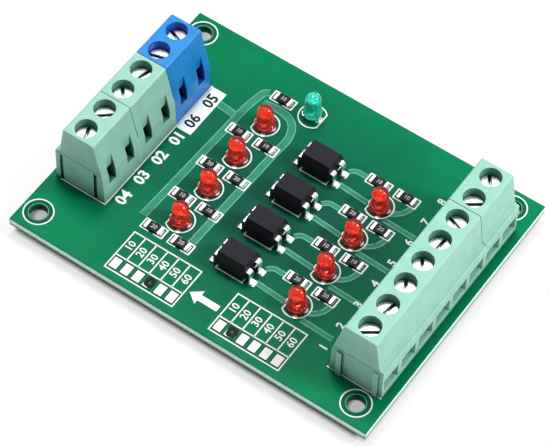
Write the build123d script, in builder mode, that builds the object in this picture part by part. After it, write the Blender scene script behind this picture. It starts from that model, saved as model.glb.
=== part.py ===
# Signal converter module: a circuit board with two rows of rising-clamp screw terminals,
# four optocoupler channels, indicator lamps and chip resistors.
# Millimetres. X runs along the board, Y across it, Z up. The origin is under the board's
# centre, level with the tips of the soldered tails, where the module rests.

import os
from math import cos, hypot, pi, radians, sin

from build123d import *

# Circuit board
board_length = 71.5
board_width = 54.6
board_thickness = 1.6
tail_drop = 2.0
board_top = tail_drop + board_thickness
mount_hole_diameter = 3.2
mount_hole_margin_x = 3.8
mount_hole_margin_y = 3.7
mount_holes_x = -0.65
mount_holes_y = 0.2
drill_clearance = 0.06
drill_sides = 4

# Terminal rows: poles per block, from the end that carries the dovetail ribs
pole_pitch = 5.08
left_pole_counts = [2, 2, 2]
right_pole_counts = [6, 2]
left_row_inset = 5.7
left_first_pole_inset = 14.84
right_row_inset = 6.4
right_first_pole_inset = 9.55
left_slot_angles = [157, 16, 75, 130, 40, 110]
right_slot_angles = [36, 79, 115, 123, 87, 159, 36, 123]

# Moulded block, in section across the row, with the screw's axis at zero.
# The outer side has the wire entries, and the inner side slopes back to the top.
block_height = 14.0
top_inner = 3.25
top_outer = 2.87
waist_inner = 5.15
waist_height = 5.8
base_inner = 5.4
base_outer = 4.75
ledge_height = 7.1
ledge_slope = 0.2
wall_outer = 3.9
ledge_bevel = 0.3
top_edge_bevel = 0.2
seam_height = 6.9
seam_inset = 0.07

# Dovetails that lock neighbouring blocks together
dovetail_offset = 3.5
dovetail_root = 0.6
dovetail_tip = 0.95
dovetail_depth = 0.45
dovetail_height = 6.5
dovetail_clearance = 0.06

# Screw, turned with its head on a shoulder inside the block. Its threaded shank can't be
# seen, so it and the holes that it passes through are plain, with eight sides.
seat_height = 10.6
head_radius = 1.85
head_height = 1.5
head_clearance = 0.08
shank_radius = 1.2
shank_sides = 8
shank_clearance = 0.08
slot_width = 0.5
slot_depth = 0.6
tip_clearance = 0.05
thread_pitch = 0.45
screw_turns = 5.5

# Clamp that rises as the screw turns, and the shaft it slides in
clamp_width = 3.5
clamp_length = 3.5
clamp_bottom = 0.9
clamp_bar = 0.8
clamp_nut = 1.6
clamp_plate = 0.45
thread_clearance = 0.05
shaft_clearance_across = 0.15
shaft_clearance_along = 0.1
shaft_roof_gap = 0.4

# Contact: a tongue through the clamp, a leg in its slot and a tail through the board
tongue_height = 4.5
metal_thickness = 0.8
tongue_reach = 1.6
leg_outer = 3.1
contact_width = 1.9
tail_width = 1.0
contact_clearance = 0.05
contact_side_clearance = 0.15
nut_clearance = 0.1

# Openings in the block: the flared wire entry and the test window at the back
entry_mouth_width = 4.2
entry_throat_width = 2.4
entry_mouth_bottom = 1.2
entry_mouth_top = 4.5
entry_throat_bottom = 1.6
entry_throat_top = 4.4
window_width = 1.9
window_depth_x = 4.3
window_sill = 3.5
window_lintel = 6.8

# Indicator lamps. Each round lens has twenty sides and a dome in a few steps, given as
# the angles above its springing line, which keeps all nine lenses light.
lamp_radius = 1.45
lamp_height = 4.9
lamp_flange_radius = 1.87
lamp_flange_height = 1.0
lamp_flat_offset = 1.55
lamp_sides = 20
lamp_dome_steps = [0, 30, 60, 83]
left_lamps_x = -12.38
left_lamps_y = [13.81, 5.41, -2.82, -10.92]
right_lamps_x = 13.03
right_lamps_y = [10.97, 2.85, -5.28, -13.52]
power_lamp_x = -6.77
power_lamp_y = 20.01
power_lamp_base = 0.9
power_lamp_height = 5.1
power_lamp_radius = 1.43
power_lamp_flange_radius = 1.68
lead_spacing = 2.54
lead_width = 0.5
lead_drop = 1.2

# Optocouplers. Each body is widest at its parting line, where the leads come out, and
# stands off the board; its long sides slope far in towards the top.
coupler_x = 0.65
couplers_y = [11.7, 3.5, -4.7, -12.85]
coupler_length = 5.8
coupler_width = 4.7
coupler_top_length = 5.4
coupler_top_width = 3.5
coupler_base_length = 5.4
coupler_base_width = 4.2
coupler_standoff = 0.8
coupler_parting = 2.75
coupler_top = 4.3
coupler_lead_pitch = 2.54
coupler_lead_span = 8.7
coupler_lead_width = 1.1
coupler_lead_thickness = 0.25
coupler_lead_knee = 0.8
coupler_lead_bend = 0.3

# Chip resistors
chip_length = 3.2
chip_width = 1.6
chip_height = 0.55
chip_cap = 0.5
left_chip_columns_x = [-14.98, -9.45]
left_chips_y = [9.8, 1.25, -6.8, -14.8]
right_chip_columns_x = [10.35, 15.95]
right_chips_y = [14.9, 6.9, -1.2, -9.5]
power_chip_x = -12.75
power_chip_y = 19.9

# Sizes that follow from those above
mount_hole_spacing_x = board_length - 2 * mount_hole_margin_x
mount_hole_spacing_y = board_width - 2 * mount_hole_margin_y
left_row_x = left_row_inset - board_length / 2
left_first_pole_y = board_width / 2 - left_first_pole_inset
right_row_x = board_length / 2 - right_row_inset
right_first_pole_y = right_first_pole_inset - board_width / 2
head_bore_radius = head_radius + head_clearance
shank_bore_radius = shank_radius + shank_clearance
thread_radius = shank_radius + thread_clearance
clamp_travel = thread_pitch * screw_turns
tongue_top = tongue_height + metal_thickness
tip_height = tongue_top + tip_clearance
clamp_window_top = tongue_top + nut_clearance
clamp_top = clamp_window_top + clamp_nut
shaft_half_length = clamp_length / 2 + shaft_clearance_across
shaft_width = clamp_width + 2 * shaft_clearance_along
shaft_roof = clamp_top + clamp_travel + shaft_roof_gap
leg_inner = leg_outer - metal_thickness
tail_x = leg_outer - metal_thickness / 2
tail_diagonal = (tail_width**2 + metal_thickness**2) ** 0.5
tail_hole_radius = tail_diagonal / 2 + drill_clearance
lead_hole_radius = lead_width / 2**0.5 + drill_clearance
left_row = Location((left_row_x, left_first_pole_y, board_top), (0, 0, 180))
right_row = Location((right_row_x, right_first_pole_y, board_top))
left_chips = [(x, y) for x in left_chip_columns_x for y in left_chips_y]
right_chips = [(x, y) for x in right_chip_columns_x for y in right_chips_y]
chip_places = left_chips + right_chips + [(power_chip_x, power_chip_y)]
left_lamps = [(left_lamps_x, y) for y in left_lamps_y]
right_lamps = [(right_lamps_x, y) for y in right_lamps_y]
lamp_places = left_lamps + right_lamps + [(power_lamp_x, power_lamp_y)]


def pole_places(poles, across=0.0, height=0.0):
    """Points along a block, one for each pole, in the block's own frame."""
    return [(across, pole * pole_pitch, height) for pole in range(poles)]


def circuit_board():
    """The board, with its fixing holes and the drillings for every soldered tail."""
    left_tail_x = left_row_x + tail_x
    right_tail_x = right_row_x - tail_x
    left_tails = [(left_tail_x, left_first_pole_y - i * pole_pitch) for i in range(sum(left_pole_counts))]
    right_tails = [(right_tail_x, right_first_pole_y + i * pole_pitch) for i in range(sum(right_pole_counts))]
    with BuildPart() as board:
        with BuildSketch(Plane.XY.offset(tail_drop)):
            Rectangle(board_length, board_width)
            with Locations((mount_holes_x, mount_holes_y)):
                with GridLocations(mount_hole_spacing_x, mount_hole_spacing_y, 2, 2):
                    Circle(mount_hole_diameter / 2, mode=Mode.SUBTRACT)
            with Locations(*left_tails, *right_tails):
                RegularPolygon(tail_hole_radius, drill_sides, major_radius=False, mode=Mode.SUBTRACT)
            with Locations(*lamp_places):
                with GridLocations(lead_spacing, 0, 2, 1):
                    RegularPolygon(lead_hole_radius, drill_sides, major_radius=False, mode=Mode.SUBTRACT)
        extrude(amount=board_thickness)
    return board.part


def block_body(poles):
    """The block's outer form: its section along the row, with a step above the seam."""
    length = poles * pole_pitch
    with BuildPart() as body:
        with BuildSketch(Plane.XZ.offset(pole_pitch / 2)) as section:
            with BuildLine():
                Polyline(
                    (-base_inner, 0),
                    (-waist_inner, waist_height),
                    (-top_inner, block_height),
                    (top_outer, block_height),
                    (wall_outer, ledge_height + ledge_slope),
                    (base_outer, ledge_height),
                    (base_outer, 0),
                    close=True,
                )
            make_face()
            ledge_root = section.vertices().sort_by_distance((wall_outer, ledge_height + ledge_slope))[0]
            top_edges = section.vertices().group_by(Axis.Y)[-1]
            chamfer(ledge_root, length=ledge_bevel)
            chamfer(top_edges, length=top_edge_bevel)
        extrude(amount=-length)
        with Locations((0, -pole_pitch / 2, seam_height), (0, length - pole_pitch / 2, seam_height)):
            Box(
                2 * (base_inner + base_outer),
                2 * seam_inset,
                block_height,
                align=(Align.CENTER, Align.CENTER, Align.MIN),
                mode=Mode.SUBTRACT,
            )
    return body.part


def dovetail_outline(clearance):
    """Outline of a dovetail pointing along -Y from a block's end face."""
    root = dovetail_root / 2 + clearance
    tip = dovetail_tip / 2 + clearance
    return [(-root, 0), (-tip, -dovetail_depth - clearance), (tip, -dovetail_depth - clearance), (root, 0)]


def wire_entry():
    """The space of one wire entry, which narrows from its mouth to the clamp shaft."""
    with BuildPart() as entry:
        with BuildSketch(Plane.XY.offset(entry_mouth_bottom)):
            with BuildLine():
                Polyline(
                    (shaft_half_length, -entry_throat_width / 2),
                    (base_outer, -entry_mouth_width / 2),
                    (base_outer, entry_mouth_width / 2),
                    (shaft_half_length, entry_throat_width / 2),
                    close=True,
                )
            make_face()
        extrude(amount=entry_mouth_top - entry_mouth_bottom)
        with BuildSketch(Plane.XZ):
            with BuildLine():
                Polyline(
                    (shaft_half_length, entry_throat_bottom),
                    (base_outer, entry_mouth_bottom),
                    (base_outer, entry_mouth_top),
                    (shaft_half_length, entry_throat_top),
                    close=True,
                )
            make_face()
        extrude(amount=entry_mouth_width, both=True, mode=Mode.INTERSECT)
    return entry.part


def terminal_housing(poles):
    """A moulded block with, at each pole, a screw well, a clamp shaft and two openings."""
    near_end = -pole_pitch / 2
    far_end = near_end + poles * pole_pitch
    with BuildPart() as housing:
        add(block_body(poles))

        # Dovetail ribs at the near end and the grooves for a neighbour's at the far end
        with BuildSketch():
            with Locations((-dovetail_offset, near_end), (dovetail_offset, near_end)):
                Polygon(*dovetail_outline(0), align=None)
        extrude(amount=dovetail_height)
        with BuildSketch():
            with Locations((-dovetail_offset, far_end), (dovetail_offset, far_end)):
                Polygon(*dovetail_outline(dovetail_clearance), align=None)
        extrude(amount=dovetail_height + dovetail_clearance, mode=Mode.SUBTRACT)

        # Screw well: a bore for the head, a shoulder, and a smaller hole into the shaft
        with Locations(*pole_places(poles, height=block_height)):
            Hole(head_bore_radius, depth=block_height - seat_height)
        with BuildSketch(Plane.XY.offset(seat_height)):
            with Locations(*pole_places(poles)):
                RegularPolygon(shank_bore_radius, shank_sides, major_radius=False)
        extrude(amount=shaft_roof - seat_height, mode=Mode.SUBTRACT)

        # Clamp shaft, open below, with the slot that holds the contact's leg
        with Locations(*pole_places(poles)):
            Box(
                2 * shaft_half_length,
                shaft_width,
                shaft_roof,
                align=(Align.CENTER, Align.CENTER, Align.MIN),
                mode=Mode.SUBTRACT,
            )
        with Locations(*pole_places(poles, across=-leg_outer - contact_clearance)):
            Box(
                leg_outer,
                contact_width + 2 * contact_side_clearance,
                tongue_top + contact_clearance,
                align=(Align.MIN, Align.CENTER, Align.MIN),
                mode=Mode.SUBTRACT,
            )

        # Test window: a notch in the sloping side, and a window through to the shaft
        with Locations(*pole_places(poles, across=-window_depth_x, height=window_sill)):
            Box(
                base_inner,
                window_width,
                block_height,
                align=(Align.MAX, Align.CENTER, Align.MIN),
                mode=Mode.SUBTRACT,
            )
            Box(
                window_depth_x,
                window_width,
                window_lintel - window_sill,
                align=(Align.MIN, Align.CENTER, Align.MIN),
                mode=Mode.SUBTRACT,
            )

        with Locations(*pole_places(poles)):
            add(wire_entry(), mode=Mode.SUBTRACT)
    return housing.part


def terminal_screw(slot_angle):
    """A slotted screw, hanging from its head's seat down to the contact's tongue."""
    with BuildPart() as screw:
        with BuildSketch(Plane.XY.offset(seat_height)):
            Circle(head_radius)
        extrude(amount=head_height)
        with BuildSketch(Plane.XY.offset(seat_height)):
            RegularPolygon(shank_radius, shank_sides)
        extrude(amount=tip_height - seat_height)
        with BuildSketch(Plane.XY.offset(seat_height + head_height)):
            Rectangle(3 * head_radius, slot_width, rotation=slot_angle)
        extrude(amount=-slot_depth, mode=Mode.SUBTRACT)
    return screw.part


def rising_clamp():
    """A box clamp around the tongue: a nut above it and a bar below the wire."""
    with BuildPart() as clamp:
        with BuildSketch(Plane.YZ.offset(-clamp_length / 2)):
            with Locations((0, clamp_bottom)):
                Rectangle(clamp_width, clamp_top - clamp_bottom, align=(Align.CENTER, Align.MIN))
            with Locations((0, clamp_bottom + clamp_bar)):
                Rectangle(
                    clamp_width - 2 * clamp_plate,
                    clamp_window_top - clamp_bottom - clamp_bar,
                    align=(Align.CENTER, Align.MIN),
                    mode=Mode.SUBTRACT,
                )
        extrude(amount=clamp_length)
        with BuildSketch(Plane.XY.offset(clamp_top)):
            RegularPolygon(thread_radius, shank_sides, major_radius=False)
        extrude(amount=-clamp_nut, mode=Mode.SUBTRACT)
    return clamp.part


def contacts(poles):
    """The block's contacts: at each pole a tongue, its leg and the tail through the board."""
    with BuildPart() as strips:
        for place in pole_places(poles):
            with BuildSketch(Plane.XZ.offset(-place[1])):
                with BuildLine():
                    Polyline(
                        (-leg_outer, 0),
                        (-leg_outer, tongue_top),
                        (tongue_reach, tongue_top),
                        (tongue_reach, tongue_height),
                        (-leg_inner, tongue_height),
                        (-leg_inner, 0),
                        close=True,
                    )
                make_face()
            extrude(amount=contact_width / 2, both=True)
        with BuildSketch():
            with Locations(*pole_places(poles, across=-tail_x)):
                Rectangle(metal_thickness, tail_width)
        extrude(amount=-board_top)
    return strips.part


def dome_cuts(radius):
    """How far inwards and down each chamfer cuts to turn a flat end into a stepped dome."""
    cuts = []
    corner = radius
    for low, high in zip(lamp_dome_steps, lamp_dome_steps[1:]):
        low_x, low_y = radius * cos(radians(low)), radius * sin(radians(low))
        high_x, high_y = radius * cos(radians(high)), radius * sin(radians(high))
        reach = low_x - (low_x - high_x) * (radius - low_y) / (high_y - low_y)
        cuts.append((corner - reach, hypot(corner - low_x, radius - low_y)))
        corner = reach
    return cuts


def lamp(base, height, radius, flange_radius, flat_offset):
    """A domed lamp on a flange with one flat, its underside at the base height."""
    flat_side = Align.MIN if flat_offset > 0 else Align.MAX
    with BuildPart() as lens:
        with BuildSketch(Plane.XY.offset(base)):
            RegularPolygon(flange_radius, lamp_sides)
            with Locations((flat_offset, 0)):
                Rectangle(
                    flange_radius,
                    2 * flange_radius,
                    align=(flat_side, Align.CENTER),
                    mode=Mode.SUBTRACT,
                )
        extrude(amount=lamp_flange_height)
        with BuildSketch(Plane.XY.offset(base)):
            RegularPolygon(radius, lamp_sides)
        extrude(amount=height)
        for inwards, down in dome_cuts(radius * cos(pi / lamp_sides)):
            top = lens.faces().sort_by(Axis.Z)[-1]
            chamfer(top.edges(), length=inwards, length2=down, reference=top)
    return lens.part


def lamp_leads():
    """Two square leads under each lamp, through the board to trimmed tips."""
    bases = [0 for place in left_lamps + right_lamps] + [power_lamp_base]
    with BuildPart() as leads:
        for (x, y), base in zip(lamp_places, bases):
            with BuildSketch(Plane.XY.offset(board_top + base)):
                with Locations((x, y)):
                    with GridLocations(lead_spacing, 0, 2, 1):
                        Rectangle(lead_width, lead_width)
            extrude(amount=-(base + board_thickness + lead_drop))
    return leads.part


def optocoupler_body():
    """A moulded body that narrows from its parting line to its top and to its underside."""
    levels = [
        (coupler_standoff, coupler_base_length, coupler_base_width),
        (coupler_parting, coupler_length, coupler_width),
        (coupler_top, coupler_top_length, coupler_top_width),
    ]
    with BuildPart() as body:
        for height, length, width in levels:
            with BuildSketch(Plane.XY.offset(height)):
                Rectangle(length, width)
        loft(ruled=True)
    return body.part


def lead_outline():
    """Section of one gull-wing lead, from the body's side to the tip of its foot."""
    body_side = coupler_length / 2
    knee = body_side + coupler_lead_knee
    tip = coupler_lead_span / 2
    top = coupler_parting + coupler_lead_thickness / 2
    underside = top - coupler_lead_thickness
    inner_bend = coupler_lead_bend - coupler_lead_thickness / 2
    return [
        (body_side, top),
        (knee - coupler_lead_bend, top),
        (knee, top - coupler_lead_bend),
        (knee, coupler_lead_thickness),
        (tip, coupler_lead_thickness),
        (tip, 0),
        (knee - coupler_lead_thickness, 0),
        (knee - coupler_lead_thickness, underside - inner_bend),
        (knee - coupler_lead_thickness - inner_bend, underside),
        (body_side, underside),
    ]


def optocoupler_leads():
    """Four gull-wing leads on each optocoupler, from the parting line to their feet."""
    with BuildPart() as leads:
        for centre_y in couplers_y:
            for lead_y in (centre_y - coupler_lead_pitch / 2, centre_y + coupler_lead_pitch / 2):
                with BuildSketch(Plane((coupler_x, lead_y, board_top), x_dir=(1, 0, 0), z_dir=(0, -1, 0))):
                    with BuildLine():
                        Polyline(*lead_outline(), close=True)
                    make_face()
                    mirror(about=Plane.YZ)
                extrude(amount=coupler_lead_width / 2, both=True)
    return leads.part


def resistor_bodies():
    """The ceramic middle of every chip resistor."""
    with BuildPart() as bodies:
        with BuildSketch(Plane.XY.offset(board_top)):
            with Locations(*chip_places):
                Rectangle(chip_length - 2 * chip_cap, chip_width)
        extrude(amount=chip_height)
    return bodies.part


def resistor_end_caps():
    """The soldered caps at both ends of every chip resistor."""
    with BuildPart() as caps:
        with BuildSketch(Plane.XY.offset(board_top)):
            with Locations(*chip_places):
                with GridLocations(chip_length - chip_cap, 0, 2, 1):
                    Rectangle(chip_cap, chip_width)
        extrude(amount=chip_height)
    return caps.part


def save(part, node, place=Location()):
    """Write one piece where it stands on the module."""
    placed = part.moved(place)
    placed.label = node
    export_step(placed, f"parts/{node}.step")


def save_row(side, row, pole_counts, slot_angles):
    """Write one row of terminals: its blocks with their contacts, then screws and clamps."""
    first_pole = 0
    for number, poles in enumerate(pole_counts, start=1):
        place = row * Location((0, first_pole * pole_pitch, 0))
        save(terminal_housing(poles), f"{side}_terminal_housing_{number}", place)
        save(contacts(poles), f"{side}_contacts_{number}", place)
        first_pole += poles
    clamp = rising_clamp()
    for pole, slot_angle in enumerate(slot_angles):
        place = row * Location((0, pole * pole_pitch, 0))
        save(terminal_screw(slot_angle), f"{side}_screw_{pole + 1}", place)
        save(clamp, f"{side}_clamp_{pole + 1}", place)


os.makedirs("parts", exist_ok=True)
save(circuit_board(), "circuit_board")
save_row("left", left_row, left_pole_counts, left_slot_angles)
save_row("right", right_row, right_pole_counts, right_slot_angles)

red_lamp = lamp(0, lamp_height, lamp_radius, lamp_flange_radius, -lamp_flat_offset)
for side, places in (("left", left_lamps), ("right", right_lamps)):
    for number, (x, y) in enumerate(places, start=1):
        save(red_lamp, f"{side}_lamp_{number}", Location((x, y, board_top)))
power_lamp = lamp(
    power_lamp_base,
    power_lamp_height,
    power_lamp_radius,
    power_lamp_flange_radius,
    lamp_flat_offset,
)
save(power_lamp, "power_lamp", Location((power_lamp_x, power_lamp_y, board_top)))
save(lamp_leads(), "lamp_leads")

coupler = optocoupler_body()
for number, y in enumerate(couplers_y, start=1):
    save(coupler, f"optocoupler_{number}", Location((coupler_x, y, board_top)))
save(optocoupler_leads(), "optocoupler_leads")
save(resistor_bodies(), "resistor_bodies")
save(resistor_end_caps(), "resistor_end_caps")
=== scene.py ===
"""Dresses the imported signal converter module: materials, printed legend, tracks, solder,
lenses and screws, on a pale floor under soft light, seen from the photograph's viewpoint."""

from math import atan2, cos, degrees, pi, radians, sin

import bmesh
import bpy
from mathutils import Matrix, Vector


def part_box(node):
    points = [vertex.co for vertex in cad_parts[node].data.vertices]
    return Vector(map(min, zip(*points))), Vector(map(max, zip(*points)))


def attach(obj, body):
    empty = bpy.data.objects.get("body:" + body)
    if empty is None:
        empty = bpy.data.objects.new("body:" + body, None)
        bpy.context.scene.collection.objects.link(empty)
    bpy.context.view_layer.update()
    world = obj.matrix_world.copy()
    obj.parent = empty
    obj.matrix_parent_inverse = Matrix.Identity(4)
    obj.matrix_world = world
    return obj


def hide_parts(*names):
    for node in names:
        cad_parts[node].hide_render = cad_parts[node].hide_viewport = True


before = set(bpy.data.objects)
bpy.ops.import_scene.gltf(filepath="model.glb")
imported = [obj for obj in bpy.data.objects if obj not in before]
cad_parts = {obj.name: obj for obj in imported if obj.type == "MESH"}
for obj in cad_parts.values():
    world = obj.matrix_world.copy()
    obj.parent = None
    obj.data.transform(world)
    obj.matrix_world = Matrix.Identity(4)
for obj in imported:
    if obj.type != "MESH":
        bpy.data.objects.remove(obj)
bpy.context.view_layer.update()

# Pieces on the board are drawn in millimetres, from the board's corner at low X and low Y,
# with height counted from its top face.
MM = 0.001
board_low, board_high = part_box("circuit_board")
board_length = (board_high.x - board_low.x) / MM
board_width = (board_high.y - board_low.y) / MM
board_thickness = (board_high.z - board_low.z) / MM
drawing_frame = Matrix.Translation((board_low.x, board_low.y, board_high.z)) @ Matrix.Scale(MM, 4)
hole_places = [(3.15, 3.9), (67.05, 3.9), (3.15, 51.1), (67.05, 51.1)]

# Camera, in metres, its roll in degrees
camera_place = (0.14331, -0.22575, 0.38332)
camera_aim = (0.001254, -0.002919, 0.005)
camera_roll = 2.735
camera_lens = 181.44
camera_sensor = 36

# Terminal rows: where the tails pass through the board
row_pitch = 5.08
left_tail_x = 8.8
left_first_tail_y = 39.76
right_tail_x = 62.4
right_first_tail_y = 9.55

# Lamps: their axes on the board, and the sizes of each kind of lens
left_lamp_x = 23.37
left_lamps_y = [41.11, 32.71, 24.48, 16.38]
right_lamp_x = 48.78
right_lamps_y = [38.27, 30.15, 22.02, 13.78]
red_lamp_base = 0.05
red_lens_sizes = {"radius": 1.45, "height": 4.85, "flange_radius": 1.87, "flat_offset": -1.55}
power_lamp = (28.98, 47.31)
power_lamp_base = 0.9
power_lens_sizes = {"radius": 1.43, "height": 5.1, "flange_radius": 1.68, "flat_offset": 1.55}
flange_height = 1.0
lead_spacing = 2.54

# Optocouplers and chip resistors
coupler_x = 36.4
couplers_y = [39.0, 30.8, 22.6, 14.45]
coupler_top = 4.3
coupler_lead_pitch = 2.54
coupler_foot_tip = 4.35
left_chip_columns = [20.77, 26.3]
left_chips_y = [37.1, 28.55, 20.5, 12.5]
right_chip_columns = [46.1, 51.7]
right_chips_y = [42.2, 34.2, 26.1, 17.8]
power_chip = (23.0, 47.2)
chip_length = 3.2
chip_height = 0.55

# Screws: the angle of each slot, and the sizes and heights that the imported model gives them
left_slots = [157, 16, 75, 130, 40, 110]
right_slots = [36, 79, 115, 123, 87, 159, 36, 123]
seat_height = 10.6
screw_tip_height = 5.35
head_radius = 1.85
head_height = 1.5
slot_width = 0.5
slot_depth = 0.6
thread_root = 0.98
thread_crest = 1.2
thread_pitch = 0.45

# Thicknesses of ink and copper
ink_height = 0.05
track_height = 0.035
pad_height = 0.03

left_chips = [(x, y) for x in left_chip_columns for y in left_chips_y]
right_chips = [(x, y) for x in right_chip_columns for y in right_chips_y]
chips = left_chips + right_chips + [power_chip]
red_lamps = [(left_lamp_x, y) for y in left_lamps_y] + [(right_lamp_x, y) for y in right_lamps_y]


# Nodes of the materials

def colour(red, green, blue):
    """A screen colour, 0 to 255 each, as the linear values that a shader takes."""
    shares = [value / 255 for value in (red, green, blue)]
    linear = [s / 12.92 if s <= 0.04045 else ((s + 0.055) / 1.055) ** 2.4 for s in shares]
    return (*linear, 1.0)


def add_node(tree, kind, sockets=None, **settings):
    """A new node, its sockets set to values or linked to other nodes' outputs."""
    node = tree.nodes.new(kind)
    for name, value in settings.items():
        setattr(node, name, value)
    for key, value in (sockets or {}).items():
        if isinstance(value, bpy.types.NodeSocket):
            tree.links.new(value, node.inputs[key])
        else:
            node.inputs[key].default_value = value
    return node


def sum_of(tree, operation, *values):
    """The result of a sum with one or two numbers."""
    return add_node(tree, "ShaderNodeMath", dict(enumerate(values)), operation=operation).outputs[0]


def vector_sum(tree, operation, *vectors, output=0):
    """The result of a sum with one or two vectors. Where it is a number, its output is Value."""
    node = add_node(tree, "ShaderNodeVectorMath", dict(enumerate(vectors)), operation=operation)
    return node.outputs[output]


def split_axes(tree, vector):
    """The outputs X, Y and Z of a vector."""
    return add_node(tree, "ShaderNodeSeparateXYZ", {0: vector}).outputs


def object_place(tree):
    """The place of a point in the shared frame, in metres."""
    return add_node(tree, "ShaderNodeTexCoord").outputs["Object"]


noise_detail = 3.0


def add_noise(tree, size, stretch=(1, 1, 1)):
    """Noise with features of the given size in millimetres, from 0 to 1."""
    scaled = add_node(tree, "ShaderNodeMapping", {"Vector": object_place(tree), "Scale": stretch})
    noise = add_node(tree, "ShaderNodeTexNoise", {
        "Vector": scaled.outputs[0],
        "Scale": 1 / (size * MM),
        "Detail": noise_detail,
    })
    return noise.outputs[0]


def remap(tree, value, low, high, from_low=0.3, from_high=0.7):
    """A value moved from one range to another, held at its ends. Unless it is given, the
    first range is the one that most of a noise lies in."""
    node = add_node(tree, "ShaderNodeMapRange", {
        "Value": value,
        "From Min": from_low,
        "From Max": from_high,
        "To Min": low,
        "To Max": high,
    })
    return node.outputs[0]


def mix_colours(tree, share, first, second):
    """One colour turning into another as share goes from 0 to 1."""
    node = add_node(tree, "ShaderNodeMix", {0: share, 6: first, 7: second}, data_type="RGBA")
    return node.outputs[2]


def drift(tree, size, tone, shade, stretch=(1, 1, 1)):
    """Two tones that turn into each other over blotches of a size in millimetres."""
    return mix_colours(tree, remap(tree, add_noise(tree, size, stretch=stretch), 0, 1), tone, shade)


# Surfaces

bevel_samples = 6
hollow_samples = 8
# Painted shade in hollows is lifted near the tops of the blocks and at the rows' outer sides:
# the heights, and the distances from the middle, over which this comes in, in metres
open_heights = (0.011, 0.014)
open_sides = (0.0275, 0.029)


def plain_surface(name, grain, roughness, bump, edge=0.0, **sockets):
    """A surface that has no colour yet: a fine grain in its roughness and relief, and edges
    that are softened by a radius."""
    material = bpy.data.materials.new(name)
    material.use_nodes = True
    tree = material.node_tree
    shader = tree.nodes["Principled BSDF"]
    for socket, value in sockets.items():
        shader.inputs[socket.replace("_", " ").title().replace("Ior", "IOR")].default_value = value
    fine = add_noise(tree, grain)
    tree.links.new(remap(tree, fine, *roughness), shader.inputs["Roughness"])
    relief = add_node(tree, "ShaderNodeBump", {"Height": fine, "Strength": 1.0, "Distance": bump * MM})
    if edge:
        softened = add_node(tree, "ShaderNodeBevel", {"Radius": edge * MM}, samples=bevel_samples)
        tree.links.new(softened.outputs[0], relief.inputs["Normal"])
    tree.links.new(relief.outputs[0], shader.inputs["Normal"])
    return material


def set_colour(material, picked):
    """Give a surface its colour, in place of the one it had."""
    shader = material.node_tree.nodes["Principled BSDF"]
    material.node_tree.links.new(picked, shader.inputs["Base Color"])


def colour_of(material):
    """The output that a surface takes its colour from."""
    shader = material.node_tree.nodes["Principled BSDF"]
    return shader.inputs["Base Color"].links[0].from_socket


def new_surface(name, tone, shade, blotch, grain, roughness, bump, edge=0.0, **sockets):
    """A surface whose colour drifts between two tones over blotches of one size."""
    material = plain_surface(name, grain, roughness, bump, edge, **sockets)
    set_colour(material, drift(material.node_tree, blotch, tone, shade))
    return material


def paint_shade_in_hollows(material, deep, darkest, reach, low, high, lift=0.0):
    """Paint shade into the colour: turn it towards a deep tone where other faces stand near, and
    to the darkest one where they close it in. Less shade is painted in the top faces and at
    the outer sides of the rows, by the lift."""
    tree = material.node_tree
    openness = add_node(
        tree, "ShaderNodeAmbientOcclusion", {"Distance": reach * MM}, samples=hollow_samples,
    )
    distances = split_axes(tree, vector_sum(tree, "ABSOLUTE", object_place(tree)))
    above = remap(tree, distances["Z"], 0, lift, *open_heights)
    outside = remap(tree, distances["X"], 0, lift, *open_sides)
    lifted = sum_of(tree, "MAXIMUM", above, outside)
    lit = sum_of(tree, "ADD", openness.outputs["AO"], lifted)
    shaded = mix_colours(tree, remap(tree, lit, 0, 1, low, high), deep, colour_of(material))
    closed_in = remap(tree, lit, 0, 1, low / 2, low)
    set_colour(material, mix_colours(tree, closed_in, darkest, shaded))


def paint_edge_highlights(material, pale, radius, amount):
    """Paint highlights along the outer edges, turning the colour towards a pale tone there."""
    tree = material.node_tree
    softened = add_node(tree, "ShaderNodeBevel", {"Radius": radius * MM}, samples=bevel_samples)
    true_normal = add_node(tree, "ShaderNodeNewGeometry").outputs["True Normal"]
    likeness = vector_sum(tree, "DOT_PRODUCT", softened.outputs[0], true_normal, output="Value")
    bent = remap(tree, likeness, amount, 0, from_low=0.9, from_high=0.99)
    openness = add_node(
        tree, "ShaderNodeAmbientOcclusion", {"Distance": 4 * radius * MM}, samples=hollow_samples,
    )
    outer = remap(tree, openness.outputs["AO"], 0, 1, from_low=0.7, from_high=0.95)
    share = sum_of(tree, "MULTIPLY", bent, outer)
    set_colour(material, mix_colours(tree, share, colour_of(material), pale))


def facing_up(tree):
    """1 on faces that look up or down, 0 on upright ones."""
    normal = add_node(tree, "ShaderNodeNewGeometry").outputs["Normal"]
    upright = sum_of(tree, "ABSOLUTE", split_axes(tree, normal)["Z"])
    return remap(tree, upright, 0, 1, from_low=0.4, from_high=0.6)


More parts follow.
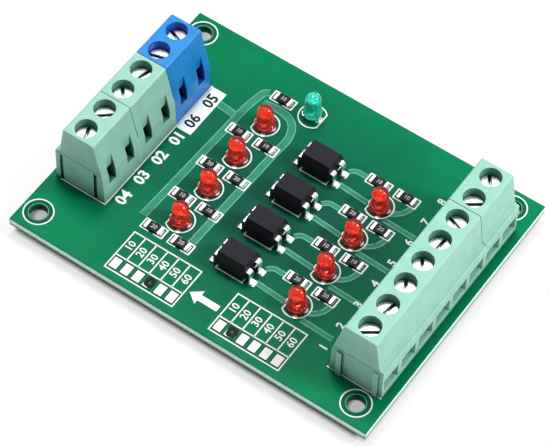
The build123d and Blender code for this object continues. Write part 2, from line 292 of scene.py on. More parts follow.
def board_surface():
    """Green solder mask, painted darker in the middle of the board and lighter towards its rim as
    shade and reflection, over pale laminate edges with painted shade towards their foot. The
    walls of the holes are darker."""
    material = plain_surface(
        "solder_mask", 0.6, (0.34, 0.46), 0.004, 0.6, specular_ior_level=0.05,
    )
    tree = material.node_tree
    place = object_place(tree)
    halves = (2 / (board_length * MM), 2 / (board_width * MM), 0)
    spread = add_node(tree, "ShaderNodeMapping", {"Vector": place, "Scale": halves}).outputs[0]
    # Painted shade and reflection: the mask darker in the middle, lighter towards the rim
    middle = drift(tree, 5, colour(12, 86, 68), colour(6, 77, 60))
    rim = drift(tree, 7, colour(0, 129, 84), colour(0, 117, 76))
    reach = vector_sum(tree, "LENGTH", spread, output="Value")
    mask = mix_colours(tree, remap(tree, reach, 0, 1, from_low=0.25, from_high=1.1), middle, rim)
    layers = drift(tree, 0.4, colour(228, 255, 243), colour(208, 248, 230), stretch=(0.3, 0.3, 3))
    # Painted shade: the laminate edges turn to a darker tone towards their foot
    foot, foot_end = [board_low.z + height * MM for height in (0.25, 0.7)]
    above_foot = remap(tree, split_axes(tree, place)["Z"], 0, 1, foot, foot_end)
    laminate = mix_colours(tree, above_foot, colour(84, 116, 104), layers)
    sides = split_axes(tree, vector_sum(tree, "ABSOLUTE", spread))
    furthest = sum_of(tree, "MAXIMUM", sides["X"], sides["Y"])
    at_edge = remap(tree, furthest, 0, 1, from_low=0.995, from_high=0.999)
    side = mix_colours(tree, at_edge, colour(20, 84, 58), laminate)
    set_colour(material, mix_colours(tree, facing_up(tree), side, mask))
    return material


# Each surface: two tones, the sizes of its blotches and grain, the range of its roughness,
# its relief and, where it has them, softened edges. Sizes are in millimetres.
surfaces = {
    "board": board_surface(),
    "track": new_surface(
        "mask_over_copper", colour(56, 142, 114), colour(40, 128, 100),
        1.6, 0.3, (0.34, 0.46), 0.004, specular_ior_level=0.1,
    ),
    # Painted highlight: the paler lines along the tracks' edges
    "track_edge_highlight": new_surface(
        "track_edge_painted_highlight", colour(112, 188, 160), colour(84, 166, 138),
        0.8, 0.2, (0.4, 0.5), 0.004, specular_ior_level=0.2,
    ),
    "bare_mask": new_surface(
        "mask_on_bare_laminate", colour(2, 96, 68), colour(0, 86, 61),
        0.8, 0.2, (0.4, 0.5), 0.004, specular_ior_level=0.05,
    ),
    "dark_ink": new_surface(
        "dark_ink", colour(20, 22, 22), colour(10, 12, 12),
        0.6, 0.12, (0.5, 0.7), 0.004, specular_ior_level=0.2,
    ),
    "ink": new_surface(
        "legend_ink", colour(244, 247, 246), colour(228, 234, 233), 1.2, 0.15, (0.5, 0.7), 0.01,
    ),
    "block_green": new_surface(
        "block_green", colour(152, 206, 188), colour(142, 197, 179),
        2.5, 0.12, (0.4, 0.55), 0.006, 0.12, specular_ior_level=0.3,
    ),
    "block_blue": new_surface(
        "block_blue", colour(36, 142, 218), colour(24, 126, 204),
        2.5, 0.12, (0.3, 0.42), 0.005, 0.12, specular_ior_level=0.3,
    ),
    "nickel": new_surface(
        "nickel", colour(250, 249, 246), colour(206, 208, 208),
        0.8, 0.12, (0.24, 0.42), 0.006, metallic=1.0,
    ),
    # Painted shade: the same nickel, darker in the screws' slots
    "slot": new_surface(
        "nickel_with_painted_shade_in_slot", colour(96, 98, 98), colour(60, 62, 62),
        0.4, 0.08, (0.4, 0.6), 0.004, metallic=1.0,
    ),
    "clamp": new_surface(
        "clamp_metal", colour(178, 178, 174), colour(150, 151, 149),
        1.5, 0.1, (0.3, 0.5), 0.006, 0.08, metallic=1.0,
    ),
    "tinned": new_surface(
        "tinned_metal", colour(240, 241, 240), colour(206, 208, 207),
        0.7, 0.12, (0.2, 0.4), 0.012, 0.05, metallic=1.0,
    ),
    "solder": new_surface(
        "solder", colour(236, 238, 236), colour(196, 199, 198),
        0.5, 0.1, (0.24, 0.42), 0.012, metallic=1.0,
    ),
    "lamp_metal": new_surface(
        "lamp_metal", colour(246, 244, 236), colour(226, 224, 214),
        0.4, 0.06, (0.4, 0.6), 0.004, metallic=0.4,
    ),
    "red_lens": new_surface(
        "red_lens", colour(255, 68, 46), colour(255, 56, 36),
        1.0, 0.3, (0.01, 0.04), 0.0004, transmission_weight=0.9, ior=1.45,
    ),
    "green_lens": new_surface(
        "green_lens", colour(66, 242, 218), colour(50, 234, 208),
        1.0, 0.3, (0.01, 0.04), 0.0004, transmission_weight=0.8, ior=1.45,
    ),
    "epoxy": new_surface(
        "black_epoxy", colour(38, 37, 43), colour(31, 30, 36),
        1.4, 0.07, (0.45, 0.62), 0.01, 0.08, specular_ior_level=0.1,
    ),
    "ceramic": new_surface(
        "black_ceramic", colour(18, 17, 21), colour(12, 11, 15),
        0.8, 0.1, (0.3, 0.45), 0.006, 0.05, specular_ior_level=0.15,
    ),
    "chip_ink": new_surface(
        "chip_ink", colour(190, 190, 197), colour(150, 150, 158), 0.4, 0.08, (0.4, 0.6), 0.004,
    ),
}

# Painted shade in the blocks' hollows and corners
paint_shade_in_hollows(
    surfaces["block_green"], deep=colour(28, 116, 92), darkest=colour(2, 14, 10),
    reach=4.5, low=0.32, high=0.86, lift=0.2,
)
paint_shade_in_hollows(
    surfaces["block_blue"], deep=colour(14, 60, 176), darkest=colour(8, 4, 56),
    reach=4.5, low=0.32, high=0.8, lift=0.2,
)
# Painted shade on the board close round the parts that stand on it
paint_shade_in_hollows(
    surfaces["board"], deep=colour(2, 58, 42), darkest=colour(0, 40, 28),
    reach=3.0, low=0.25, high=0.85,
)
# Painted highlights along the blocks' outer edges
paint_edge_highlights(surfaces["block_green"], pale=colour(214, 250, 236), radius=0.15, amount=0.8)
paint_edge_highlights(surfaces["block_blue"], pale=colour(90, 190, 250), radius=0.15, amount=0.6)

node_surfaces = {
    "circuit_board": "board",
    "left_terminal_housing_1": "block_blue",
    "lamp_leads": "tinned",
    "optocoupler_leads": "tinned",
    "resistor_bodies": "ceramic",
    "resistor_end_caps": "tinned",
}
surface_of_family = {
    "_terminal_housing_": "block_green",
    "_contacts_": "tinned",
    "_clamp_": "clamp",
    "_screw_": "nickel",
    "optocoupler_": "epoxy",
    "power_lamp": "green_lens",
    "_lamp_": "red_lens",
}


def surface_for(node):
    """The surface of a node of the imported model, by its name or its family's."""
    if node in node_surfaces:
        return surfaces[node_surfaces[node]]
    family = next(part for part in surface_of_family if part in node)
    return surfaces[surface_of_family[family]]


for name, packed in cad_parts.items():
    packed.data.materials.clear()
    packed.data.materials.append(surface_for(name))


# Flat and turned shapes on the board

def add_prism(mesh, lower, upper, bottom, top):
    """A thin prism between two outlines with the same number of points."""
    low = [mesh.verts.new((x, y, bottom)) for x, y in lower]
    high = [mesh.verts.new((x, y, top)) for x, y in upper]
    mesh.faces.new(high)
    mesh.faces.new(low[::-1])
    for i in range(len(low)):
        j = (i + 1) % len(low)
        mesh.faces.new((low[i], low[j], high[j], high[i]))


def add_plate(mesh, outline, bottom, top):
    """A flat plate with upright edges."""
    add_prism(mesh, outline, outline, bottom, top)


def rectangle(x, y, length, width):
    """The corners of a rectangle about a point."""
    low_x, high_x = x - length / 2, x + length / 2
    low_y, high_y = y - width / 2, y + width / 2
    return [(low_x, low_y), (high_x, low_y), (high_x, high_y), (low_x, high_y)]


least_mitre_cosine = 0.5


def offset_line(points, distance, closed):
    """A line's points moved sideways, with mitred corners."""
    moved = []
    count = len(points)
    for i, point in enumerate(points):
        here = Vector(point)
        ways = []
        if closed or i:
            ways.append((here - Vector(points[i - 1])).normalized())
        if closed or i < count - 1:
            ways.append((Vector(points[(i + 1) % count]) - here).normalized())
        sides = [Vector((-way.y, way.x)) for way in ways]
        side = sum(sides, Vector((0, 0))).normalized()
        stretch = 1 / max(side.dot(sides[0]), least_mitre_cosine)
        moved.append(tuple(here + side * distance * stretch))
    return moved


def add_strip(mesh, points, width, bottom, top, closed=False):
    """A strip of even width along a line of points."""
    half = width / 2
    rows = []
    for distance, height in ((-half, bottom), (-half, top), (half, top), (half, bottom)):
        rows.append([mesh.verts.new((x, y, height)) for x, y in offset_line(points, distance, closed)])
    last = len(points) if closed else len(points) - 1
    for first, second in zip(rows, rows[1:]):
        for i in range(last):
            j = (i + 1) % len(points)
            mesh.faces.new((first[i], first[j], second[j], second[i]))
    if not closed:
        for i in (0, -1):
            mesh.faces.new([row[i] for row in rows])


def arc(x, y, radius, start, end, steps):
    """Points along an arc about a centre, with its angles in degrees."""
    angles = [radians(start + (end - start) * i / steps) for i in range(steps + 1)]
    return [(x + radius * cos(a), y + radius * sin(a)) for a in angles]


ring_steps = 40


def full_ring(x, y, radius):
    """Points all the way round a centre, for a closed strip."""
    return arc(x, y, radius, 0, 360, ring_steps)[:-1]


shortest_step = 0.01


def rounded(points, radius, steps=6):
    """A line whose inner corners are turned into smooth bends."""
    line = [points[0]]
    for before, here, after in zip(points, points[1:], points[2:]):
        before, here, after = Vector(before), Vector(here), Vector(after)
        cut = min(radius, (here - before).length / 2, (after - here).length / 2)
        start = here + (before - here).normalized() * cut
        end = here + (after - here).normalized() * cut
        for i in range(steps + 1):
            share = i / steps
            rest = 1 - share
            bend = start * rest**2 + here * 2 * share * rest + end * share**2
            if (bend - Vector(line[-1])).length > shortest_step:
                line.append(tuple(bend))
    return line + [points[-1]]


def add_ring_form(mesh, x, y, profile, steps=24):
    """A form turned about an upright axis, from radii and heights."""
    rings = []
    for radius, height in profile:
        angles = [2 * pi * i / steps for i in range(steps)] if radius else [0]
        ring = [(x + radius * cos(a), y + radius * sin(a), height) for a in angles]
        rings.append([mesh.verts.new(point) for point in ring])
    for low, high in zip(rings, rings[1:]):
        for i in range(steps):
            j = (i + 1) % steps
            corners = [low[i % len(low)], low[j % len(low)], high[j % len(high)], high[i % len(high)]]
            mesh.faces.new(list(dict.fromkeys(corners)))


number_height_share = 0.7


def add_number(mesh, text, x, y, height, turn, bottom, thickness, weight=0.05):
    """A plain number, standing up off a face, centred on a point and turned in degrees.
    The weight is how far its strokes are widened on each side."""
    curve = bpy.data.curves.new("number", "FONT")
    curve.body = text
    curve.size = height / number_height_share
    curve.align_x = "CENTER"
    curve.align_y = "CENTER"
    curve.resolution_u = 2
    curve.offset = weight
    curve.extrude = thickness / 2
    holder = bpy.data.objects.new("number", curve)
    shape = bpy.data.meshes.new_from_object(holder)
    place = Matrix.Translation((x, y, bottom + thickness / 2)) @ Matrix.Rotation(radians(turn), 4, "Z")
    shape.transform(place)
    mesh.from_mesh(shape)
    bpy.data.objects.remove(holder)
    bpy.data.curves.remove(curve)
    bpy.data.meshes.remove(shape)


sharp_angle = 40


def place_piece(name, mesh, surface, smooth=False):
    """Turn a drawing in the board's frame into a piece that rides with the board."""
    data = bpy.data.meshes.new(name)
    bmesh.ops.recalc_face_normals(mesh, faces=mesh.faces)
    mesh.to_mesh(data)
    mesh.free()
    data.transform(drawing_frame)
    data.materials.append(surfaces[surface])
    if smooth:
        data.shade_smooth()
        data.set_sharp_from_angle(angle=radians(sharp_angle))
    piece = bpy.data.objects.new(name, data)
    bpy.context.scene.collection.objects.link(piece)
    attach(piece, "module")
    return piece


# Copper tracks under the mask, each with a paler line along its edges as a painted highlight

left_track_width = 1.3
left_bend_radius = 2.0
left_tracks = [
    [(20.2, 47.2), (19.3, 46.6), (18.6, 42.8), (18.45, 38), (17.65, 13.6)],
    [(14.4, 40.1), (17.86, 39.75)],
    [(20.4, 44.7), (23.7, 45.2), (26.9, 44.4), (28.5, 41.3), (28.2, 37.1), (27.6, 13.3)],
]
right_track_width = 0.85
right_bend_radius = 0.9
channels = 4
channel_pitch = 8.17
channel_tracks = [
    [(40.6, 41.2), (41.5, 42.1), (43.7, 42.1)],
    [(40.7, 38.1), (46.8, 37.7)],
    [(50.9, 36.4), (57.2, 36.2)],
    [(53.4, 41.2), (53.1, 39.9), (52.3, 38.8), (51.0, 37.95)],
]
track_edge_width = 0.17
track_edge_rise = 0.004
tracks = bmesh.new()
track_highlights = bmesh.new()


def draw_track(points, width):
    """A track and the lines along its edges, which are painted highlights."""
    add_strip(tracks, points, width, 0, track_height)
    for side in (-1, 1):
        edge = offset_line(points, side * width / 2, False)
        add_strip(track_highlights, edge, track_edge_width, 0, track_height + track_edge_rise)


for track in left_tracks:
    draw_track(rounded(track, left_bend_radius), left_track_width)
for channel in range(channels):
    for track in channel_tracks:
        moved = [(x, y - channel * channel_pitch) for x, y in track]
        draw_track(rounded(moved, right_bend_radius), right_track_width)

# Round each fixing hole the copper stops short, and a thin pale ring is a painted highlight
# of the hole's rim
rim_highlight_radius = 1.73
rim_highlight_width = 0.1
clearing_radius = 2.12
clearing_width = 0.72
clearing_height = 0.015
clearings = bmesh.new()
for x, y in hole_places:
    rim_highlight = full_ring(x, y, rim_highlight_radius)
    add_strip(track_highlights, rim_highlight, rim_highlight_width, 0, track_height, closed=True)
    clearing = full_ring(x, y, clearing_radius)
    add_strip(clearings, clearing, clearing_width, 0, clearing_height, closed=True)
place_piece("hole_clearings", clearings, "bare_mask")
place_piece("copper_tracks", tracks, "track")
# The paler lines along the tracks and round the holes are painted highlights
place_piece("copper_edges", track_highlights, "track_edge_highlight")


# Printed legend in white

line_width = 0.24
thin_line = 0.22
along_y = 90
ink = bmesh.new()


def draw_line(points, width=line_width, closed=False):
    """A printed line."""
    add_strip(ink, points, width, 0, ink_height, closed)


# Rings round the lamps, each closed by a flat on one side
lamp_ring_radius = 2.5
red_ring_flat = -1.65
power_ring_flat = 1.9


def draw_lamp_ring(x, y, flat_offset):
    """The outline of a lamp."""
    flat_half = (lamp_ring_radius**2 - flat_offset**2) ** 0.5
    half_angle = degrees(atan2(flat_half, abs(flat_offset)))
    middle = 0 if flat_offset > 0 else 180
    start, end = middle + half_angle, middle + 360 - half_angle
    draw_line(arc(x, y, lamp_ring_radius, start, end, ring_steps), closed=True)


for x, y in red_lamps:
    draw_lamp_ring(x, y, red_ring_flat)
draw_lamp_ring(*power_lamp, power_ring_flat)

# Rings round the fixing holes
hole_ring_radius = 2.58
for x, y in hole_places:
    draw_line(full_ring(x, y, hole_ring_radius), closed=True)

# Optocoupler outlines: a bracket on each long side
outline_left = 33.6
outline_right = 38.9
outline_inner = 1.3
outline_outer = 2.3
for y in couplers_y:
    for side in (-1, 1):
        inner = y + side * outline_inner
        outer = y + side * outline_outer
        left_end = [(outline_left, inner), (outline_left, outer)]
        right_end = [(outline_right, outer), (outline_right, inner)]
        draw_line(left_end + right_end)

# Chip outlines: a bracket round each end, and a thick bar across it
bracket_end = 2.18
bracket_arm = 1.7
bracket_half_width = 1.02
bar_length = 0.3
bar_width = 1.9
bar_rise = 0.002
for x, y in chips:
    low, high = y - bracket_half_width, y + bracket_half_width
    for side in (-1, 1):
        end = x + side * bracket_end
        arm = end - side * bracket_arm
        draw_line([(arm, high), (end, high), (end, low), (arm, low)], thin_line)
        add_plate(ink, rectangle(end, y, bar_length, bar_width), 0, ink_height + bar_rise)

# Two tables of six columns, each column with a number over a square. In one column of each
# the square is only a corner, because a dark scribble covers it.
tables = [{"left": 18.6, "right": 32.3, "covered": 3}, {"left": 39.65, "right": 53.4, "covered": 1}]
table_columns = 6
table_low = 1.62
table_split = 4.7
table_high = 10.04
table_number_y = 7.35
table_number_height = 1.35
table_number_weight = 0.03
square_y = 3.16
square_length = 1.5
square_width = 2.1
corner_line = 0.2
corner_drop = 0.9
corner_reach = 0.2


def column_edges(table):
    """Where a table's columns start, along X."""
    pitch = (table["right"] - table["left"]) / table_columns
    return [table["left"] + pitch * column for column in range(table_columns)]


def column_middles(table):
    """The middles of a table's columns, along X."""
    half_pitch = (table["right"] - table["left"]) / table_columns / 2
    return [edge + half_pitch for edge in column_edges(table)]


for table in tables:
    left, right = table["left"], table["right"]
    centre = ((left + right) / 2, (table_low + table_high) / 2)
    draw_line(rectangle(*centre, right - left, table_high - table_low), closed=True)
    draw_line([(left, table_split), (right, table_split)])
    for edge in column_edges(table)[1:]:
        draw_line([(edge, table_split), (edge, table_high)])
    for column, middle in enumerate(column_middles(table)):
        add_number(
            ink, f"{column + 1}0", middle, table_number_y, table_number_height, along_y,
            0, ink_height, table_number_weight,
        )
        if column == table["covered"]:
            side = middle - square_length / 2
            foot = square_y - corner_drop
            corner = [(side, square_y + corner_reach), (side, foot), (middle + corner_reach, foot)]
            draw_line(corner, corner_line)
        else:
            add_plate(ink, rectangle(middle, square_y, square_length, square_width), 0, ink_height)

# Arrow between the tables
arrow = [(33.0, 5.65), (34.95, 7.2), (34.95, 6.3), (38.75, 6.3), (38.75, 5.05), (34.95, 5.05), (34.95, 4.2)]
add_plate(ink, arrow, 0, ink_height)

# A label strip and numbers along the left row, and numbers along the right row
label_strip = rectangle(12.9, 37.1, 2.9, 10.7)
left_label_x = 12.95
left_label_height = 2.0
left_label_weight = 0.09
left_labels = {"04": 14.6, "03": 19.75, "02": 24.85, "01": 29.9}
right_label_x = 56.9
right_label_height = 1.5
right_first_label_y = 9.6
right_poles = 8
add_plate(ink, label_strip, 0, ink_height)
for label, y in left_labels.items():
    add_number(ink, label, left_label_x, y, left_label_height, along_y, 0, ink_height, left_label_weight)
for pole in range(right_poles):
    y = right_first_label_y + pole * row_pitch
    add_number(ink, str(pole + 1), right_label_x, y, right_label_height, along_y, 0, ink_height)

# Lines round the terminal rows
row_lines = [
    [(11.25, 11.6), (11.25, 42.6)],
    [(2.0, 11.6), (11.25, 11.6)],
    [(59.3, 7.0), (69.9, 6.9)],
]
for row_line in row_lines:
    draw_line(row_line, thin_line)
place_piece("legend", ink, "ink")


# Dark print: numbers on the label strip, frames round the squares, and in the covered
# column of each table a round scribble with a bare middle

dark_labels = {"06": 34.4, "05": 39.7}
dark_label_thickness = 0.02
dark_label_weight = 0.07
square_frame = 0.16
square_frame_height = 0.04
scribble_height = 0.06
scribble_radius = 0.62
scribble_width = 0.62
scribble_middle = (0.08, 0.15)
scribble_stretch = 1.15
scribble_steps = 40
dark = bmesh.new()


def scribble(x, y, seed):
    """Points round an uneven ring."""
    line = []
    for i in range(scribble_steps):
        angle = 2 * pi * i / scribble_steps
        wave = 0.06 * sin(3 * angle + seed)
        ripple = 0.04 * sin(7 * angle + 1)
        radius = scribble_radius + wave + ripple
        line.append((x + radius * cos(angle), y + scribble_stretch * radius * sin(angle)))
    return line


for label, y in dark_labels.items():
    add_number(
        dark, label, left_label_x, y, left_label_height, along_y,
        ink_height, dark_label_thickness, dark_label_weight,
    )
for table in tables:
    middles = column_middles(table)
    for middle in middles:
        outline = rectangle(middle, square_y, square_length + square_frame, square_width + square_frame)
        add_strip(dark, outline, square_frame, 0, square_frame_height, closed=True)
    x = middles[table["covered"]] + scribble_middle[0]
    ring = scribble(x, square_y + scribble_middle[1], table["covered"])
    add_strip(dark, ring, scribble_width, 0, scribble_height, closed=True)
place_piece("dark_print", dark, "dark_ink")


# Solder: fillets at the chips, pads and fillets at the optocouplers' feet, and the joints
# of the lamps' leads and the terminals' tails

chip_fillet = {"width": 1.4, "length": 0.2, "height": 0.3}
chip_fillet_overlap = 0.05
foot_fillet = {"width": 1.1, "length": 0.28, "height": 0.22}
foot_fillet_overlap = 0.03
foot_pad_inset = 0.45
foot_pads = {1: (1.2, 1.3), -1: (0.9, 1.1)}
lead_joint_top = [(0.8, 0), (0.8, pad_height), (0.45, 0.06), (0.3, 0.2), (0, 0.22)]
lead_joint_under = [(0, 1.25), (0.37, 1.22), (0.42, 0.8), (0.55, 0.35), (0.78, 0.1), (0.85, 0)]
tail_joint_under = [(0, 1.35), (0.68, 1.32), (0.72, 0.9), (0.85, 0.45), (1.05, 0.15), (1.2, 0)]
test_pad = [(0.42, 0), (0.42, ink_height), (0.3, 0.09), (0, 0.1)]
test_pad_place = (0.95, -2.0)
fillet_taper = 0.12
solder = bmesh.new()


def add_fillet(mesh, x, y, side, width, length, height):
    """A hollow-faced wedge of solder that runs down from an end to its pad."""
    steps = 5
    rows = []
    for i in range(steps + 1):
        share = i / steps
        top = height * (1 - share) ** 2 + pad_height
        half = width / 2 * (1 - fillet_taper * share)
        at = x + side * length * share
        corners = [(at, y - half, top), (at, y + half, top), (at, y + half, 0), (at, y - half, 0)]
        rows.append([mesh.verts.new(corner) for corner in corners])
    for first, second in zip(rows, rows[1:]):
        for i in range(4):
            j = (i + 1) % 4
            mesh.faces.new((first[i], first[j], second[j], second[i]))
    for row in (rows[0], rows[-1]):
        mesh.faces.new(row)


def add_joint_under(x, y, profile):
    """A joint on the board's underside, from radii and depths below it."""
    add_ring_form(solder, x, y, [(radius, -board_thickness - depth) for radius, depth in profile])


for x, y in chips:
    for side in (-1, 1):
        end = x + side * (chip_length / 2 - chip_fillet_overlap)
        add_fillet(solder, end, y, side, **chip_fillet)
for coupler_y in couplers_y:
    for y in (coupler_y - coupler_lead_pitch / 2, coupler_y + coupler_lead_pitch / 2):
        for side in (-1, 1):
            tip = coupler_x + side * coupler_foot_tip
            pad = rectangle(tip - side * foot_pad_inset, y, *foot_pads[side])
            add_plate(solder, pad, 0, pad_height)
            add_fillet(solder, tip - side * foot_fillet_overlap, y, side, **foot_fillet)
for x, y in red_lamps + [power_lamp]:
    for side in (-1, 1):
        lead_x = x + side * lead_spacing / 2
        add_ring_form(solder, lead_x, y, lead_joint_top)
        add_joint_under(lead_x, y, lead_joint_under)
for x, y in red_lamps:
    add_ring_form(solder, x + test_pad_place[0], y + test_pad_place[1], test_pad, steps=16)
for pole in range(len(left_slots)):
    add_joint_under(left_tail_x, left_first_tail_y - pole * row_pitch, tail_joint_under)
for pole in range(len(right_slots)):
    add_joint_under(right_tail_x, right_first_tail_y + pole * row_pitch, tail_joint_under)
place_piece("solder", solder, "solder", smooth=True)


# Numbers on the chips, and a dot on each optocoupler

chip_number_height = 0.78
chip_number_thickness = 0.012
chip_number_weight = 0.02
chip_numbers = bmesh.new()
for index, (x, y) in enumerate(chips):
    number = "20" if index % 2 else "10"
    add_number(
        chip_numbers, number, x, y, chip_number_height, 0,
        chip_height, chip_number_thickness, chip_number_weight,
    )
place_piece("chip_numbers", chip_numbers, "chip_ink")

dot_profile = [(0.4, 0), (0.34, 0.02), (0, 0.01)]
dot_place = (-1.9, -1.1)
dots = bmesh.new()
for y in couplers_y:
    profile = [(radius, coupler_top + height) for radius, height in dot_profile]
    add_ring_form(dots, coupler_x + dot_place[0], y + dot_place[1], profile)
place_piece("coupler_dots", dots, "epoxy", smooth=True)


# Lamps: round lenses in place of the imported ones, with the metal frame inside them

lens_steps = 56
dome_steps = 14
soft_edge = 0.12
neck_flare = 0.04
neck_bottom = 0.03
neck_top = 0.15


def lens_profile(radius, height, flange_radius):
    """Radii and heights of a lens, from its underside to the top of its dome."""
    profile = [
        (0, 0),
        (flange_radius - soft_edge, 0),
        (flange_radius, soft_edge),
        (flange_radius, flange_height - soft_edge),
        (flange_radius - soft_edge, flange_height),
        (radius + neck_flare, flange_height + neck_bottom),
        (radius, flange_height + neck_top),
    ]
    spring = height - radius
    for i in range(dome_steps):
        angle = pi / 2 * i / dome_steps
        profile.append((radius * cos(angle), spring + radius * sin(angle)))
    return profile + [(0, height)]


def make_lens(node, x, y, base, surface, radius, height, flange_radius, flat_offset):
    """A lens with a flat on one side of its flange, in place of a packed lens."""
    mesh = bmesh.new()
    add_ring_form(mesh, 0, 0, lens_profile(radius, height, flange_radius), lens_steps)
    trim = min if flat_offset > 0 else max
    for vert in mesh.verts:
        vert.co.x = trim(vert.co.x, flat_offset)
        vert.co += Vector((x, y, base))
    piece = place_piece(f"{node}_lens", mesh, surface, smooth=True)
    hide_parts(node)


# The metal in a lens, its heights over the lens's underside. The two posts are each given
# by an offset along X, a length and a width, at the waist and at the top.
leg_offset = 0.78
leg_length = 0.7
leg_width = 0.8
leg_foot = 0.2
post_waist = 1.05
wide_post = [(-0.55, 1.3, 0.8), (-0.3, 1.5, 1.1)]
wide_post_top = 2.3
narrow_post = [(0.85, 0.5, 0.7), (0.8, 0.4, 0.6)]
narrow_post_top = 2.6
cup_profile = [
    (0.3, 2.3), (0.7, 2.3), (0.8, 2.85), (0.66, 2.85),
    (0.4, 2.4), (0.12, 2.42), (0.12, 2.6), (0, 2.6),
]
cup_offset = -0.2
power_frame_rise = 0.75
frames = bmesh.new()


def add_lamp_frame(x, y, base, rise=0.0):
    """The two posts in a lens on their legs, the wider one with the cup that holds the chip."""
    waist = base + post_waist
    for side in (-1, 1):
        leg = rectangle(x + side * leg_offset, y, leg_length, leg_width)
        add_plate(frames, leg, base + leg_foot, waist)
    for post, top in ((wide_post, wide_post_top), (narrow_post, narrow_post_top)):
        lower, upper = [rectangle(x + offset, y, length, width) for offset, length, width in post]
        add_prism(frames, lower, upper, waist, base + top + rise)
    cup =[(radius, base + height + rise) for radius, height in cup_profile]
    add_ring_form(frames, x + cup_offset, y, cup)


for side, x, lamps_y in (("left", left_lamp_x, left_lamps_y), ("right", right_lamp_x, right_lamps_y)):
    for number, y in enumerate(lamps_y, start=1):
        make_lens(f"{side}_lamp_{number}", x, y, red_lamp_base, "red_lens", **red_lens_sizes)
        add_lamp_frame(x, y, red_lamp_base)
make_lens("power_lamp", *power_lamp, power_lamp_base, "green_lens", **power_lens_sizes)
add_lamp_frame(*power_lamp, power_lamp_base, power_frame_rise)
place_piece("lamp_frames", frames, "lamp_metal")


# Screws: a slotted head with softened rims on a threaded shank, one for each pole

head_rim = 0.1
half_head_steps = 28
head_steps = 60
thread_steps = 24
thread_form = [(thread_root, 0), (thread_crest, 0.4), (thread_crest, 0.6), (thread_root, 1)]
tip_bevel = 0.2
screw_sharp_angle = 30


def half_head(side):
    """One half of the head above the slot's floor, as an outline."""
    inner = slot_width / 2
    reach = (head_radius**2 - inner**2) ** 0.5
    start = degrees(atan2(inner, reach))
    outline = arc(0, 0, head_radius, start, 180 - start, half_head_steps)
    return [(x, side * y) for x, y in outline][::side]


def add_thread(mesh, top, bottom):
    """A threaded shank: a crest and a root that wind down round the axis."""
    count = int((top - bottom - thread_pitch) / thread_pitch * thread_steps)
    rows = []
    for i in range(count + 1):
        angle = -2 * pi * i / thread_steps
        height = top - thread_pitch * i / thread_steps
        row = [
            (radius * cos(angle), radius * sin(angle), height - drop * thread_pitch)
            for radius, drop in thread_form
        ]
        rows.append([mesh.verts.new(point) for point in row])
    for first, second in zip(rows, rows[1:]):
        for i in range(len(thread_form) - 1):
            mesh.faces.new((first[i], first[i + 1], second[i + 1], second[i]))
    core = [
        (0, bottom), (thread_root - tip_bevel, bottom), (thread_root, bottom + tip_bevel),
        (thread_root, top), (0, top),
    ]
    add_ring_form(mesh, 0, 0, core)


def screw_mesh():
    """The screw in metres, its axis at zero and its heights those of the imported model."""
    mesh = bmesh.new()
    head_top = seat_height + head_height
    slot_floor = head_top - slot_depth
    for side in (1, -1):
        outline = half_head(side)
        inset = offset_line(outline, head_rim, closed=True)
        add_plate(mesh, outline, slot_floor, head_top - head_rim)
        add_prism(mesh, outline, inset, head_top - head_rim, head_top)
    lower_head = [
        (0, seat_height), (head_radius - head_rim, seat_height),
        (head_radius, seat_height + head_rim), (head_radius, slot_floor), (0, slot_floor),
    ]
    add_ring_form(mesh, 0, 0, lower_head, head_steps)
    add_thread(mesh, seat_height, screw_tip_height)
    bmesh.ops.recalc_face_normals(mesh, faces=mesh.faces)
    data = bpy.data.meshes.new("terminal_screw")
    mesh.to_mesh(data)
    mesh.free()
    data.materials.append(surfaces["nickel"])
    data.materials.append(surfaces["slot"])
    tolerance = 0.001
    # Faces in the slot take the darker nickel, as painted shade
    for face in data.polygons:
        in_slot = abs(face.center.y) <= slot_width / 2 + tolerance
        if in_slot and slot_floor - tolerance <= face.center.z:
            face.material_index = 1
    data.transform(Matrix.Scale(MM, 4))
    data.shade_smooth()
    data.set_sharp_from_angle(angle=radians(screw_sharp_angle))
    return data


shared_screw = screw_mesh()
for side, slots in (("left", left_slots), ("right", right_slots)):
    for number, slot_angle in enumerate(slots, start=1):
        node = f"{side}_screw_{number}"
        low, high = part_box(node)
        screw = bpy.data.objects.new(f"{node}_detailed", shared_screw)
        bpy.context.scene.collection.objects.link(screw)
        screw.location = ((low.x + high.x) / 2, (low.y + high.y) / 2, board_high.z)
        screw.rotation_euler = (0, 0, radians(slot_angle))
        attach(screw, node)
        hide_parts(node)


# Floor: white, but for the shadow under the board and close round it. The whiteness comes
# in over two reaches, counted from a line a little way in from the board's edges.

floor_reach = 3.0
floor_blotch = 60
floor_tone = (0.93, 0.93, 0.935, 1)
floor_shade = (0.91, 0.91, 0.915, 1)
shade_inset = 1.1
close_start = 0.2
close_white = 0.7
far_end = 9.0
far_white = 0.3
# The fixing holes about the board's middle, and the painted pools of light on the floor under
# them, set back from each hole to where the camera sees the floor through it
hole_spread = (31.95, 23.6)
hole_sight = (-1.05, 1.65)
light_patch_white = 0.42
light_patch_fade = (1.1, 1.9)


def on_floor(x, y):
    """A point on the floor, in metres."""
    return (x * MM, y * MM, 0)


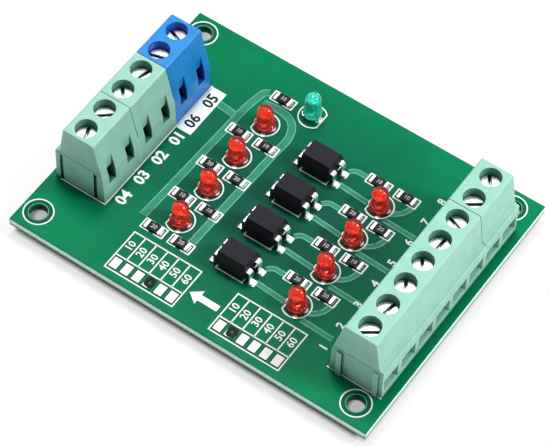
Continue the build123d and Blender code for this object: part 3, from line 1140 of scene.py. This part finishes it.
def floor_whiteness(tree):
    """How white the floor is where it is seen: 0 under the board and 1 well away from it, with a
    painted pool of light under each fixing hole.
    """
    place = object_place(tree)
    half_board = on_floor(board_length / 2 - shade_inset, board_width / 2 - shade_inset)
    beyond = vector_sum(tree, "SUBTRACT", vector_sum(tree, "ABSOLUTE", place), half_board)
    outside = vector_sum(tree, "MAXIMUM", beyond, (0, 0, 0))
    reach = vector_sum(tree, "LENGTH", outside, output="Value")
    close = remap(tree, reach, 0, close_white, close_start * MM, shade_inset * MM)
    far = remap(tree, reach, 0, far_white, shade_inset * MM, far_end * MM)
    moved = vector_sum(tree, "SUBTRACT", place, on_floor(*hole_sight))
    spread = vector_sum(tree, "ABSOLUTE", moved)
    apart = vector_sum(tree, "DISTANCE", spread, on_floor(*hole_spread), output="Value")
    patch_start, patch_end = light_patch_fade
    # A painted pool of light on the floor under each fixing hole
    light_under_hole = remap(tree, apart, light_patch_white, 0, patch_start * MM, patch_end * MM)
    return sum_of(tree, "ADD", sum_of(tree, "MAXIMUM", close, light_under_hole), far)


def floor_surface():
    """A matt floor that is plain white to what looks at it, where it isn't in shadow."""
    material = bpy.data.materials.new("floor_white")
    material.use_nodes = True
    tree = material.node_tree
    shader = tree.nodes["Principled BSDF"]
    shader.inputs["Roughness"].default_value = 0.9
    shader.inputs["Specular IOR Level"].default_value = 0.1
    set_colour(material, drift(tree, floor_blotch, floor_tone, floor_shade))
    rays = add_node(tree, "ShaderNodeLightPath").outputs
    seen = sum_of(tree, "MAXIMUM", rays["Is Camera Ray"], rays["Is Glossy Ray"])
    seen = sum_of(tree, "MAXIMUM", seen, rays["Is Transmission Ray"])
    share = sum_of(tree, "MULTIPLY", seen, floor_whiteness(tree))
    white = add_node(tree, "ShaderNodeEmission", {"Color": (1, 1, 1, 1), "Strength": 1.0})
    mixed = add_node(tree, "ShaderNodeMixShader", {0: share, 1: shader.outputs[0], 2: white.outputs[0]})
    tree.links.new(mixed.outputs[0], tree.nodes["Material Output"].inputs["Surface"])
    return material


floor_mesh = bpy.data.meshes.new("floor")
floor_corners = [(x, y, 0) for x, y in rectangle(0, 0, 2 * floor_reach, 2 * floor_reach)]
floor_mesh.from_pydata(floor_corners, [], [(0, 1, 2, 3)])
floor_mesh.materials.append(floor_surface())
floor = bpy.data.objects.new("floor", floor_mesh)
bpy.context.scene.collection.objects.link(floor)


# Sky: white to the camera, and brighter behind the object, opposite the camera, in what
# it lights and in what metal shows

sky_heading = (-0.31, 0.48, 0.82)
sky_fade = (0.1, 0.9)
sky_dim = 0.2
sky_lit = 0.54
sky_mirrored = 1.0
world = bpy.data.worlds.new("studio")
bpy.context.scene.world = world
world.use_nodes = True
sky = world.node_tree
background = sky.nodes["Background"]
background.inputs["Color"].default_value = (1, 1, 1, 1)
heading = add_node(sky, "ShaderNodeTexCoord").outputs["Generated"]
towards_bright = vector_sum(sky, "DOT_PRODUCT", heading, sky_heading, output="Value")
sky_rays = add_node(sky, "ShaderNodeLightPath").outputs


def fade_to(bright):
    """A strength that falls away from the bright part of the sky."""
    return remap(sky, towards_bright, sky_dim, bright, *sky_fade)


def pick_strength(kind, plain, picked):
    """One strength for rays of a kind, another for the rest."""
    return add_node(sky, "ShaderNodeMix", {0: sky_rays[kind], 2: plain, 3: picked}).outputs[0]


strength = pick_strength("Is Glossy Ray", fade_to(sky_lit), fade_to(sky_mirrored))
strength = pick_strength("Is Transmission Ray", strength, 1.0)
strength = pick_strength("Is Camera Ray", strength, 1.0)
sky.links.new(strength, background.inputs["Strength"])


# Lights, in metres and watts

light_aim = (0, 0, 0.005)
light_size = 0.15


def add_light(name, place, power):
    """A soft square light aimed at the object."""
    light = bpy.data.lights.new(name, "AREA")
    light.shape = "SQUARE"
    light.size = light_size
    light.energy = power
    holder = bpy.data.objects.new(name, light)
    holder.location = place
    holder.rotation_mode = "QUATERNION"
    holder.rotation_quaternion = (Vector(light_aim) - Vector(place)).to_track_quat("-Z", "Y")
    bpy.context.scene.collection.objects.link(holder)


add_light("overhead_light", (-0.14, 0.14, 0.58), 1.9)
add_light("side_light", (0.45, 0.17, 0.43), 2.6)


# Camera at the photograph's viewpoint

camera = bpy.data.objects.new("camera", bpy.data.cameras.new("camera"))
bpy.context.scene.collection.objects.link(camera)
camera.data.lens = camera_lens
camera.data.sensor_width = camera_sensor
camera.data.clip_start = 0.01
camera.data.clip_end = 10
look = Vector(camera_aim) - Vector(camera_place)
turn = look.to_track_quat("-Z", "Y").to_matrix().to_4x4() @ Matrix.Rotation(radians(camera_roll), 4, "Z")
camera.matrix_world = Matrix.Translation(camera_place) @ turn
bpy.context.scene.camera = camera
bpy.context.scene.view_settings.view_transform = "Standard"
